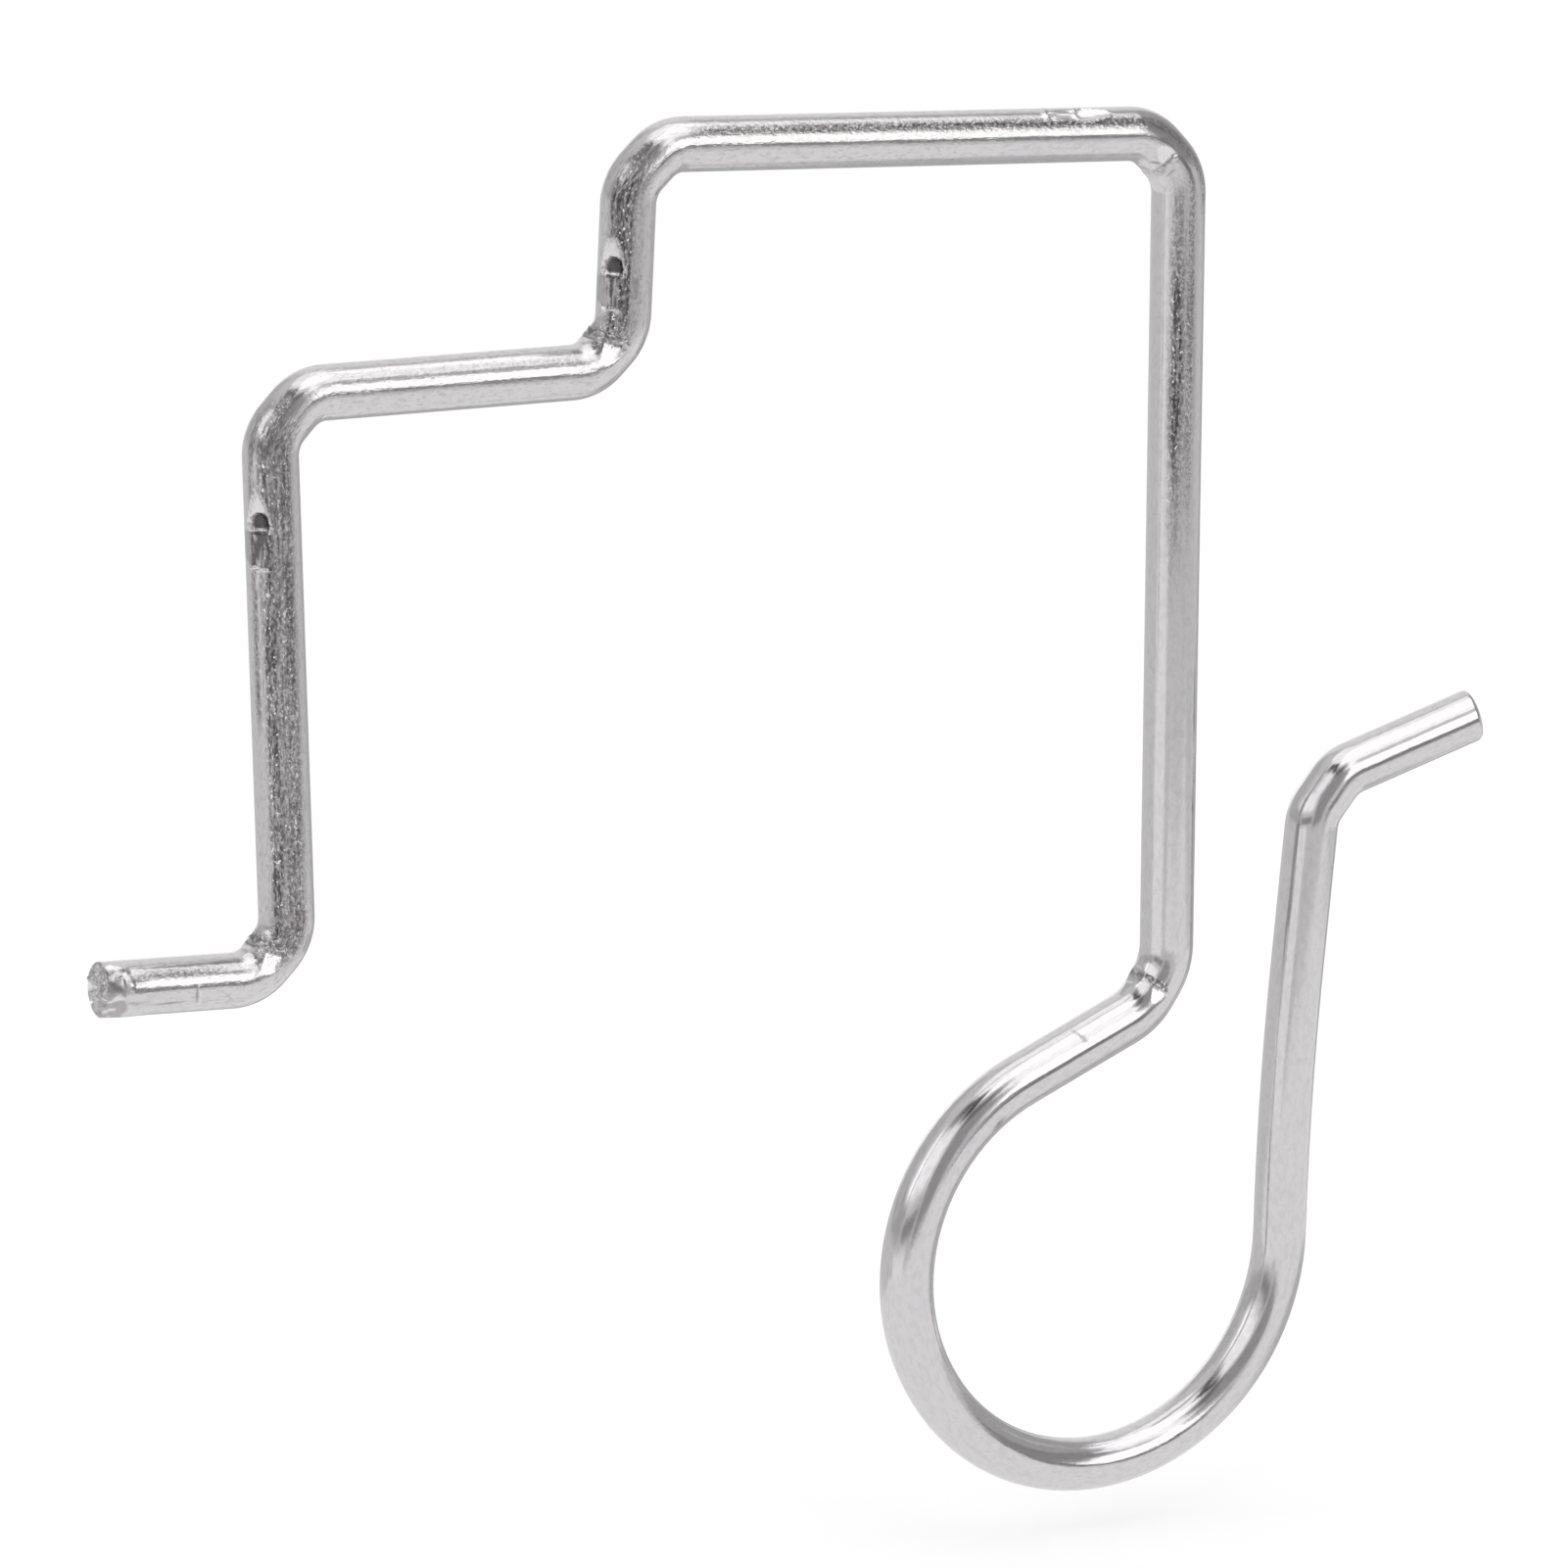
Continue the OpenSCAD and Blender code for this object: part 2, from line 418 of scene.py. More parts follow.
@dataclass(frozen=True)
class JawMark:
    """The dent and the pressed land that the clamp's jaw left before a bend.

    The land runs up to the lip. Past it the ramp rises back to the skin, and the bowl is sunk
    into the ramp. burr and tongue are how far the metal is raised round the bowl and the ramp,
    and before the land. The bowl and the land are painted darker, with darker streaks in the
    land's grooves, as painted shade.
    """

    lip: float
    land: float
    seed: float
    radius: float = 2.0
    side: float = math.radians(57.0)
    ramp: float = 3.0
    depth: float = 0.24
    hollow: float = 0.9
    land_depth: float = 0.08
    land_sink: float = 0.02
    land_curve: float = 0.3
    land_waver: float = 0.12
    streak: float = 0.06
    bowl: float = 0.78
    bowl_at: float = 0.62
    bowl_depth: float = 0.34
    burr: float = 0.11
    tongue: float = 0.13
    tongue_half: float = 0.75
    painted_dark: float = 1.0

    def press(self, skin: Skin) -> None:
        """Presses the land and the ramp, sinks the bowl and raises the burrs.

        Args:
            skin: the wire's skin, which is marked before the bend.
        """
        run = skin.along - self.lip
        near = (run > -self.land - 1.0) & (run < self.ramp + 1.0)
        near = near & (skin.from_side(self.side) < 60.0)
        height, across = skin.towards(self.side)
        streaks, ragged = np.zeros_like(run), np.zeros_like(run)
        spots = skin.unrolled(self.radius)
        streaks[near] = grain(spots[near], (5.0, 5.0, 0.7), self.seed)
        ragged[near] = grain(spots[near], (2.2, 2.2, 0.4), self.seed + 3.0)
        from_bowl = np.hypot(run - self.bowl_at, across) / self.bowl
        taper = np.clip(1.0 - run / self.ramp, 0.0, 1.0)
        half = np.sqrt(2.0 * self.radius * self.depth * taper) + 1e-6
        bow = np.clip(1.0 - (across / half) ** 2, 0.0, 1.0)
        scoop = self.depth * taper * (1.0 + self.hollow * bow)
        scoop = scoop + self.bowl_depth * np.clip(1.0 - from_bowl**2, 0.0, 1.0) ** 0.5
        smile = -self.land + self.land_curve * across**2 + self.land_waver * ragged
        land = self.land_depth + self.land_sink + self.streak * streaks
        on_ramp = fade(run, 0.06, -0.1) * near
        on_land = fade(run, smile + 0.1, smile - 0.05) * (1.0 - on_ramp) * near
        limit = self.radius - np.where(on_ramp > 0.5, scoop, land)
        pressed = np.maximum(height - limit, 0.0) * np.where(on_ramp > 0.5, 1.0, on_land) * near
        edge = bump_at(np.abs(across) - half, 0.02, 0.1) * (run > 0.3) * (run < self.ramp * 0.9)
        rim = bump_at(from_bowl, 1.12, 0.16) * (run < 0.55)
        tongue = bump_at(run - smile, -0.1, 0.12) * (np.abs(across) < self.tongue_half)
        skin.push(self.side, pressed)
        skin.swell((self.burr * (edge + rim) + self.tongue * tongue) * near)
        skin.worn = np.maximum(skin.worn, np.clip(pressed / 0.1, 0.0, 1.0))
        skin.worn = np.maximum(skin.worn, np.maximum(edge, tongue) * near)
        # Painted shade: dark in the bowl, and over the land with darker streaks in its grooves
        pocket = fade(from_bowl, 0.75, 0.95) * fade(run, 0.3, 0.15)
        pocket = np.maximum(pocket, 0.9 * fade(from_bowl, 0.8, 1.0) * (run > 0.2) * near)
        stripes = fade(streaks, 0.1, -0.5) * on_land * fade(np.abs(across), 0.55, 0.85)
        painted_dark = self.painted_dark * np.maximum(pocket * near, 0.3 * on_land + 0.65 * stripes)
        skin.painted_shade = np.maximum(skin.painted_shade, painted_dark)


@dataclass(frozen=True)
class Scratch:
    """A short scratch or raised tick between two places on the skin.

    Each place is a distance from the tail's end and an angle in degrees from the front towards
    the left. A scratch has a negative height and is painted darker in its groove, as painted
    shade.
    """

    start: tuple[float, float]
    end: tuple[float, float]
    height: float = -0.05
    width: float = 0.09
    radius: float = 2.0

    def press(self, skin: Skin) -> None:
        """Scores or raises the skin between the scratch's two places.

        Args:
            skin: the wire's skin, which is marked along the scratch.
        """
        low, high = min(self.start[0], self.end[0]) - 1.0, max(self.start[0], self.end[0]) + 1.0
        near = (skin.along > low) & (skin.along < high)
        arc = math.radians(1.0) * self.radius
        turn = np.degrees((skin.around + math.pi) % (2 * math.pi) - math.pi)
        x, y = skin.along - self.start[0], (turn - self.start[1]) * arc
        dx, dy = self.end[0] - self.start[0], (self.end[1] - self.start[1]) * arc
        share = np.clip((x * dx + y * dy) / (dx * dx + dy * dy), 0.0, 1.0)
        off = np.hypot(x - share * dx, y - share * dy)
        mark = bump_at(off, 0.0, self.width) * (0.4 + 0.6 * np.sin(np.pi * share)) * near
        skin.swell(self.height * mark)
        skin.worn = np.maximum(skin.worn, 0.7 * mark)
        # A score is painted darker in its groove, as painted shade
        if self.height < 0.0:
            skin.painted_shade = np.maximum(skin.painted_shade, 0.8 * mark)


@dataclass(frozen=True)
class TornEnd:
    """The tail's end: a facet that the cutters left round its front, and a torn face.

    wrap is the angle in degrees from the facet's middle up to which it is full, and it is gone
    wrap_out further on. flutes, lumps and crumbs are how deep the face is torn, coarse to fine.
    The face is painted darker in its hollows and towards its top, and the facet in its pock
    hollows, as painted shade.
    """

    facet: float = 1.2
    depth: float = 0.5
    side: float = math.radians(-4.0)
    wrap: float = 52.0
    wrap_out: float = 30.0
    shortest: float = 0.55
    ragged: float = 0.2
    burr: float = 0.07
    pocks: float = 0.05
    flutes: float = 0.26
    lumps: float = 0.26
    crumbs: float = 0.12
    dome: float = 0.12
    face_shade: float = 0.42
    shadow: float = 0.1

    def press(self, skin: Skin) -> None:
        """Cuts the facet, raises its edge and tears the face.

        Args:
            skin: the wire's skin, which is marked at the tail's end.
        """
        near = skin.along < self.facet * 2.0
        spots = np.stack([skin.front, skin.left, skin.along], axis=1)
        ragged, flute, lump = (np.zeros_like(skin.along) for _ in range(3))
        ragged[near] = grain(spots[near], (1.6, 1.6, 1.6), 3.0)
        wrap = fade(skin.from_side(self.side), self.wrap, self.wrap + self.wrap_out)
        length = self.facet * (self.shortest + (1.0 - self.shortest) * wrap) + self.ragged * ragged
        share = np.clip(1.0 - skin.along / length, 0.0, 1.0)
        cut = self.depth * share * wrap * near
        edge = bump_at(share, 0.04, 0.06) * wrap * near * (skin.torn == 0)
        rough = self.pocks * ragged * (cut > 0.02)
        skin.swell((self.burr * edge * (1.0 + ragged) + rough) * (skin.torn == 0))
        skin.swell(-cut * np.where(skin.torn > 0, skin.out, 1.0))
        skin.worn = np.maximum(skin.worn, fade(cut, 0.04, 0.0) * (skin.torn == 0))
        # Painted shade in the pock hollows of the facet
        skin.painted_shade = np.maximum(skin.painted_shade, 0.5 * fade(cut, 0.05, 0.0) * fade(ragged, -0.15, -0.5))
        face = (skin.torn > 0) & near
        around = np.stack([np.cos(skin.around) * 2.6, np.sin(skin.around) * 2.6, skin.out], axis=1)
        flute[face] = grain(around[face], (1.0, 1.0, 0.6), 21.0)
        lump[face] = grain(spots[face], (1.1, 1.1, 0.0), 9.0)
        crumb = np.zeros_like(lump)
        crumb[face] = grain(spots[face], (3.6, 3.6, 0.0), 14.0)
        torn = self.flutes * flute * np.minimum(skin.out * 1.6, 1.0)
        torn = torn + self.lumps * lump + self.crumbs * crumb
        skin.along -= np.where(face, torn * fade(skin.out, 0.8, 1.0), 0.0)
        # Painted shade on the torn face: dark in its hollows and towards its top
        face_shade = self.face_shade * fade(flute + 0.5 * crumb, -0.1, -0.55)
        face_shade = face_shade + self.shadow * fade(skin.left, 1.6, 0.2)
        skin.painted_shade = np.maximum(skin.painted_shade, np.where(face, face_shade, 0.0))
        skin.along -= np.where(face, self.dome * (1.0 - skin.out**2), 0.0)


@dataclass(frozen=True)
class ShearedEnd:
    """The tip's end, sheared at a slant that leaves the front side shorter."""

    end: float
    slant: float = math.radians(12.0)
    run: float = 1.4
    rounding: float = 0.4
    rolled: float = 0.13
    scores: float = 0.07

    def press(self, skin: Skin) -> None:
        """Scores the face, rolls its rim in and leans the end over.

        Args:
            skin: the wire's skin, which is marked at the tip's end.
        """
        face = (skin.torn > 0) & (skin.along > self.end - 1e-3)
        spots = np.stack([skin.front, skin.left, skin.along], axis=1)
        lines = np.zeros_like(skin.along)
        lines[face] = grain(spots[face], (0.7, 3.4, 0.0), 27.0)
        skin.along -= self.scores * lines * fade(skin.out, 0.8, 1.0) * face
        roll = np.clip((skin.along - self.end + self.rounding) / self.rounding, 0.0, 1.0)
        skin.swell(-self.rolled * np.where(skin.torn > 0, skin.out, roll**2.5) * (roll > 0))
        share = np.clip((skin.along - self.end + self.run) / self.run, 0.0, 1.0)
        skin.along -= share * (skin.front * math.tan(self.slant))


@dataclass(frozen=True)
class Stripe:
    """A stripe of dark pits along the wire, partly a painted dark reflection on its front.

    begin and end are distances from the tail's end. low and high are angles in degrees from
    the front towards the left. soft is how far the ends fade, and most is the share of pits
    in the middle.
    """

    begin: float
    end: float
    low: float
    high: float
    soft: float = 1.5
    most: float = 1.0
    side_in: float = 15.0
    side_out: float = 8.0

    def share(self, along: np.ndarray, turn: np.ndarray) -> np.ndarray:
        """Works out the share of pits, with their painted dark reflection.

        Args:
            along: the distance from the tail's end.
            turn: the angle in degrees from the front towards the left.

        Returns:
            The share at each vertex.
        """
        inner = min(self.side_in, (self.high - self.low) / 2)
        run = fade(along, self.begin + self.soft, self.begin - self.soft)
        run = run * fade(along, self.end - self.soft, self.end + self.soft)
        across = fade(turn, self.low + inner, self.low - self.side_out)
        return self.most * run * across * fade(turn, self.high - inner, self.high + self.side_out)


@dataclass
class BentWire:
    """The wire itself, swept round along the bending list and marked by the tools.

    The gaps say how far apart the mesh's rings are at each kind of place. Bends of a radius
    under tight count as corners, and those under wide as the loop. smooth is the angle in
    degrees past which an edge stays sharp. polish is how much finer the grain gets, over
    polish_run from where the drop leg begins.
    """

    sizes: BendingList = field(default_factory=BendingList)
    sides: int = 96
    corner_gap: float = 0.15
    settle_gap: float = 0.25
    mark_gap: float = 0.13
    loop_gap: float = 1.0
    bow_gap: float = 2.5
    plain_gap: float = 2.0
    rim: float = 0.05
    inset: float = 0.16
    insets: int = 11
    dent_gap: float = 2.0
    tight: float = 6.0
    wide: float = 50.0
    smooth: float = 38.0
    polish: float = 0.7
    polish_run: tuple[float, float] = (3.0, -28.0)

    def __post_init__(self) -> None:
        """Works out the rows, their starts and where each begins along the wire."""
        self.rows = self.sizes.rows()
        self.starts = self.sizes.starts()
        lengths = [row.leg + math.radians(abs(row.turn)) * row.radius for row in self.rows]
        self.begins = [sum(lengths[:i]) for i in range(len(lengths) + 1)]

    def corner_middle(self, row: int) -> float:
        """Returns the distance along to the middle of a set corner's nip."""
        return self.begins[row + 1] + self.rows[row + 1].leg / 2

    def lip(self, row: int) -> float:
        """Returns the distance along to the lip of the dent on a row."""
        return self.begins[row] + self.rows[row].leg - self.dent_gap - JawMark.ramp

    def pin_marks(self) -> list[PinMark]:
        """Lists the marks that the bending pin left inside the set corners.

        Returns:
            A mark for each corner, from tail to tip.
        """
        pins = []
        for row, crease in SET_CORNERS.items():
            turn = self.rows[row].turn
            leg = self.starts[row].along(self.rows[row].leg)
            side = math.copysign(1.0, turn)
            if crease.held is Held.AFTER:
                after = self.starts[row + 2]
                leg, side = State(after.x, after.z, after.heading + 180.0), -side
            pins.append(PinMark(
                middle=self.corner_middle(row),
                inside=LEFT if turn > 0 else RIGHT,
                half_nip=self.rows[row + 1].leg / 2,
                half_turn=math.radians(abs(turn)),
                bend_radius=self.rows[row].radius,
                radius=self.sizes.wire / 2,
                leg=leg,
                side=side,
                fall=crease.fall,
                seed=7.3 * row,
                strength=crease.strength,
            ))
        return pins

    def jaw_marks(self) -> list[JawMark]:
        """Lists the dents of the clamp's jaw, of which the last is a light one.

        Returns:
            A mark for each dent, from tail to tip.
        """
        return [
            JawMark(self.lip(BACK), land=2.6, seed=2.0),
            JawMark(self.lip(STEP), land=2.4, seed=31.0),
            JawMark(self.lip(BAR), land=2.6, seed=47.0, depth=0.16, bowl_depth=0.05, burr=0.05,
                    painted_dark=0.1),
        ]

    def scratches(self) -> list[Scratch]:
        """Lists the scratches and raised ticks.

        Returns:
            The scratches, in the order they are pressed.
        """
        return [
            Scratch((6.75, 10.0), (6.9, -36.0), 0.05, 0.11),
            Scratch((6.55, 8.0), (6.7, -30.0), -0.03, 0.08),
            Scratch((1.3, -18.0), (3.3, -27.0), -0.05, 0.08),
            Scratch((3.3, -27.0), (5.6, -26.0), -0.045, 0.08),
            Scratch((135.9, -52.0), (136.8, -33.0), -0.07, 0.1),
            Scratch((136.4, -48.0), (137.3, -62.0), 0.05, 0.1),
            Scratch((137.95, -44.0), (137.7, -18.0), -0.09, 0.11),
            Scratch((125.9, 84.0), (125.6, 46.0), 0.05, 0.1),
            Scratch((128.5, 74.0), (128.75, 50.0), 0.05, 0.1),
            Scratch((208.3, -20.0), (208.8, -66.0), -0.03, 0.1),
            Scratch((218.0, 40.0), (217.2, 10.0), -0.06, 0.14),
        ]

    def marks(self) -> list[Mark]:
        """Lists everything that the tools left on the wire.

        Returns:
            Every mark, in the order it is pressed.
        """
        ends = [TornEnd(), ShearedEnd(self.begins[-1])]
        return [*self.pin_marks(), *self.jaw_marks(), *self.scratches(), *ends]

    def windows(self) -> list[tuple[float, float, float]]:
        """Lists the places where the mesh's rings sit closer.

        Returns:
            For each place, where it begins and ends along the wire and the gap there.
        """
        end = self.begins[-1]
        found = [(0.0, 1.9, 0.12), (6.2, 7.2, 0.1), (end - 1.5, end, 0.3), (end - 0.5, end, 0.09)]
        found += [(125.2, 126.3, 0.12), (128.0, 129.2, 0.12), (208.0, 209.0, 0.15)]
        found += [(self.lip(row) - 3.1, self.lip(row) + 3.2, self.mark_gap)
                  for row in (BACK, STEP, BAR)]
        for row in SET_CORNERS:
            found.append((self.begins[row] + self.rows[row].leg - 1.5, self.begins[row + 2] + 1.5,
                          self.settle_gap))
            found.append((self.begins[row + 1], self.begins[row + 1] + self.rows[row + 1].leg,
                          self.corner_gap))
        return found

    def spans(self, begin: float, end: float) -> list[tuple[float, float]]:
        """Cuts a straight into spans by how close its rings sit.

        Args:
            begin: where the straight begins, along the wire.
            end: where it ends.

        Returns:
            A length and a gap for each span.
        """
        windows = self.windows()
        cuts = {begin, end}
        for low, high, _ in windows:
            cuts.update(c for c in (low, high) if begin + 0.02 < c < end - 0.02)
        cuts = sorted(cuts)
        found = []
        for low, high in zip(cuts, cuts[1:]):
            middle = (low + high) / 2
            gaps = [gap for a, b, gap in windows if a < middle < b]
            found.append((high - low, min(gaps, default=self.plain_gap)))
        return found

    def extrude_straight(self, start: State, length: float, gap: float) -> None:
        """Extrudes the open end along a straight in even steps.

        Args:
            start: the state at the open end.
            length: how far to go.
            gap: the widest step allowed.
        """
        steps = max(1, math.ceil(length / gap - 0.01))
        step = start.direction() * (length / steps * MM)
        bpy.ops.mesh.extrude_repeat(steps=steps, offset=step)

    def spin_bend(self, start: State, turn: float, radius: float, gap: float) -> None:
        """Spins the open end round a bend.

        Args:
            start: the state at the open end.
            turn: degrees, positive to the left.
            radius: radius of the centre line.
            gap: the widest step allowed on the centre line.
        """
        angle = math.radians(abs(turn))
        centre = start.place() + start.left() * math.copysign(radius * MM, turn)
        bpy.ops.mesh.spin(
            steps=max(2, math.ceil(angle * radius / gap)),
            angle=angle,
            center=centre,
            axis=(0.0, math.copysign(1.0, turn), 0.0),
        )

    def close_end(self, wire: bpy.types.Object, state: State) -> None:
        """Fills an open end and insets the face in rings, down to a poked middle.

        Args:
            wire: the wire, in edit mode.
            state: the state at that end.
        """
        bpy.ops.mesh.select_all(action="DESELECT")
        bpy.ops.object.mode_set(mode="OBJECT")
        place, way, radius = state.place(), state.direction(), self.sizes.wire * MM
        chosen = [abs((v.co - place).dot(way)) < 1e-6 and (v.co - place).length < radius
                  for v in wire.data.vertices]
        wire.data.vertices.foreach_set("select", chosen)
        bpy.ops.object.mode_set(mode="EDIT")
        bpy.ops.mesh.edge_face_add()
        bpy.ops.mesh.inset(thickness=self.rim * MM)
        for _ in range(self.insets):
            bpy.ops.mesh.inset(thickness=self.inset * MM)
        bpy.ops.mesh.poke()

    def sweep(self) -> bpy.types.Object:
        """Sweeps the plain round wire along the bending list.

        Returns:
            The plain wire as one object.
        """
        first = self.starts[0]
        bpy.ops.object.select_all(action="DESELECT")
        bpy.ops.mesh.primitive_circle_add(
            vertices=self.sides,
            radius=self.sizes.wire / 2 * MM,
            location=first.place(),
            rotation=(0.0, math.radians(90.0 - first.heading), 0.0),
        )
        wire = bpy.context.object
        wire.name = "bent_wire"
        bpy.ops.object.transform_apply()
        bpy.ops.object.mode_set(mode="EDIT")
        bpy.ops.mesh.select_all(action="SELECT")
        for start, row, begin in zip(self.starts, self.rows, self.begins):
            for length, gap in self.spans(begin, begin + row.leg):
                self.extrude_straight(start, length, gap)
            if row.turn:
                gap = (self.corner_gap if row.radius < self.tight
                       else self.loop_gap if row.radius < self.wide else self.bow_gap)
                self.spin_bend(start.along(row.leg), row.turn, row.radius, gap)
        self.close_end(wire, self.starts[-1].along(self.rows[-1].leg))
        self.close_end(wire, first)
        bpy.ops.mesh.select_all(action="SELECT")
        bpy.ops.mesh.normals_make_consistent(inside=False)
        bpy.ops.object.mode_set(mode="OBJECT")
        return wire

    def locate(self, points: np.ndarray) -> tuple[np.ndarray, np.ndarray]:
        """Finds the nearest place on the centre line for each point.

        Args:
            points: n rows of x and z in millimetres.

        Returns:
            The distance along the wire and the heading in radians, n of each.
        """
        best = np.full(len(points), np.inf)
        along, heading = np.zeros(len(points)), np.zeros(len(points))

        def keep(away: np.ndarray, s: np.ndarray, h: np.ndarray) -> None:
            """Keeps the places that are nearer than the best so far."""
            nearer = away < best - 1e-9
            best[nearer], along[nearer], heading[nearer] = away[nearer], s[nearer], h[nearer]

        for start, row, begin in zip(self.starts, self.rows, self.begins):
            d, n = start.direction(), start.left()
            x, z = points[:, 0] - start.x, points[:, 1] - start.z
            run = np.clip(x * d.x + z * d.z, 0.0, row.leg)
            off = np.hypot(x - run * d.x, z - run * d.z)
            h = math.radians(start.heading)
            keep(off, begin + run, np.full_like(off, h))
            if not row.turn:
                continue
            side = math.copysign(1.0, row.turn)
            x = points[:, 0] - (start.x + row.leg * d.x + side * row.radius * n.x)
            z = points[:, 1] - (start.z + row.leg * d.z + side * row.radius * n.z)
            swept = side * (np.arctan2(z, x) - math.atan2(-side * n.z, -side * n.x))
            swept = (swept + math.pi) % (2 * math.pi) - math.pi
            swept = np.where(swept < -math.pi / 2, swept + 2 * math.pi, swept)
            swept = np.clip(swept, 0.0, math.radians(abs(row.turn)))
            at = swept * side + math.atan2(-side * n.z, -side * n.x)
            off = np.hypot(x - row.radius * np.cos(at), z - row.radius * np.sin(at))
            keep(off, begin + row.leg + swept * row.radius, h + side * swept)
        return along, heading

    def mark(self, wire: bpy.types.Object) -> None:
        """Presses the tools' marks into the mesh and keeps what the finish needs.

        Args:
            wire: the plain wire.
        """
        mesh, radius = wire.data, self.sizes.wire / 2
        points = np.empty(len(mesh.vertices) * 3)
        mesh.vertices.foreach_get("co", points)
        points = points.reshape(-1, 3) / MM
        along, heading = self.locate(points[:, [0, 2]])
        way = np.stack([np.cos(heading), np.sin(heading)], axis=1)
        normal = np.stack([-way[:, 1], way[:, 0]], axis=1)
        middle = self.middles(along)
        left = np.sum((points[:, [0, 2]] - middle) * normal, axis=1)
        front = -points[:, 1]
        out = np.hypot(left, front) / radius
        end = (along < TOUCH) | (along > self.begins[-1] - TOUCH)
        face = end & (out < 0.999)
        around = np.where(out > TOUCH, np.arctan2(left, front), 0.0)
        skin = Skin(along.copy(), around, left, front, out, np.zeros_like(out),
                    face.astype(float), np.zeros_like(out), points[:, [0, 2]].copy())
        for mark in self.marks():
            mark.press(skin)
        skin.along += np.where(face & (along < 1.0), -self.rim, 0.0)
        skin.along += np.where(face & (along > 1.0), self.rim, 0.0)
        shift = (skin.along - along)[:, None] * way
        flat = middle + shift + skin.left[:, None] * normal
        points = np.stack([flat[:, 0], -skin.front, flat[:, 1]], axis=1)
        mesh.vertices.foreach_set("co", (points * MM).ravel())
        unrolled = np.stack([skin.front, skin.left, along], axis=1)
        mesh.attributes.new("unrolled", "FLOAT_VECTOR", "POINT").data.foreach_set(
            "vector", unrolled.ravel())
        for name, values in (
            ("worn", skin.worn),
            ("torn", skin.torn),
            # painted shade: dark in the creases, dents, scratch grooves and hollows
            ("painted_shade", skin.painted_shade),
            ("strained", self.strained(along)),
            ("coarse", self.coarseness(along)),
            # dark pits, partly a painted dark reflection on the fronts
            ("pits_and_painted_reflection", self.pits_and_reflection_share(along, np.degrees(around))),
        ):
            mesh.attributes.new(name, "FLOAT", "POINT").data.foreach_set("value", values)
        mesh.update()

    def middles(self, along: np.ndarray) -> np.ndarray:
        """Finds the centre line at each distance along the wire.

        Args:
            along: the distance from the tail's end.

        Returns:
            Rows of x and z in millimetres.
        """
        x, z = np.zeros_like(along), np.zeros_like(along)
        for i, (start, row) in enumerate(zip(self.starts, self.rows)):
            begin, end = self.begins[i], self.begins[i + 1]
            inside = (along >= begin - 1e-6) & (along <= end + 1e-6)
            run = along[inside] - begin
            d, n = start.direction(), start.left()
            straight = np.minimum(run, row.leg)
            x[inside] = start.x + straight * d.x
            z[inside] = start.z + straight * d.z
            if row.turn:
                turned = np.maximum(run - row.leg, 0.0) / row.radius
                side = math.copysign(row.radius, row.turn)
                x[inside] += row.radius * np.sin(turned) * d.x + side * (1 - np.cos(turned)) * n.x
                z[inside] += row.radius * np.sin(turned) * d.z + side * (1 - np.cos(turned)) * n.z
        return np.stack([x, z], axis=1)

    def strained(self, along: np.ndarray) -> np.ndarray:
        """Works out how much bending roughened the skin.

        Args:
            along: the distance from the tail's end.

        Returns:
            The roughening of each vertex, from 0 to 1.
        """
        most = np.zeros_like(along)
        for row in SET_CORNERS:
            reach = self.begins[row + 2] - self.corner_middle(row)
            most = np.maximum(most, fade(np.abs(along - self.corner_middle(row)), reach * 0.8,
                                         reach + 2.0))
        return most

    def coarseness(self, along: np.ndarray) -> np.ndarray:
        """Returns how coarse the drawn grain is: less from the shoulder round to the tip."""
        return 1.0 - self.polish * fade(along - self.begins[DROP], *self.polish_run)

    def stripes(self) -> tuple[Stripe, ...]:
        """Lists the stripes of pits and painted dark reflection on the uprights and level legs.

        Returns:
            The stripes.
        """
        heel, ledge_corner, step, bar_corner = (
            self.begins[row + 1] for row in (TAIL, BACK, LEDGE, STEP))
        back, bar, drop = (self.begins[row] for row in (BACK, BAR, DROP))
        return (
            Stripe(heel + 0.6, ledge_corner - 0.4, -24.0, 50.0, 1.5, 0.76),
            Stripe(heel + 0.6, ledge_corner + 0.2, 20.0, 58.0),
            Stripe(back + 14.0, ledge_corner + 0.2, 64.0, 76.0, 1.5, 0.8),
            Stripe(step + 0.6, bar_corner - 0.3, 10.0, 70.0),
            Stripe(drop + 1.0, drop + 24.0, -50.0, -10.0, 9.0),
            Stripe(drop + 1.0, drop + 22.0, -30.0, 16.0, 9.0, 0.5),
            Stripe(2.0, 8.0, 25.0, 46.0, 1.5, 0.5),
            Stripe(bar + 1.0, drop + 1.0, 25.0, 46.0, 1.5, 0.85),
        )

    def pits_and_reflection_share(self, along: np.ndarray, turn: np.ndarray) -> np.ndarray:
        """Works out the dark pits and painted dark reflection: most on the uprights' fronts.

        Args:
            along: the distance from the tail's end.
            turn: the angle in degrees from the front towards the left.

        Returns:
            The share at each vertex, from 0 to 1.
        """
        return np.max([stripe.share(along, turn) for stripe in self.stripes()], axis=0)

    def build(self) -> bpy.types.Object:
        """Makes the wire's mesh.

        Returns:
            The wire as one object.
        """
        wire = self.sweep()
        self.mark(wire)
        bpy.ops.object.select_all(action="DESELECT")
        wire.select_set(True)
        bpy.context.view_layer.objects.active = wire
        bpy.ops.object.shade_smooth_by_angle(angle=math.radians(self.smooth))
        return wire


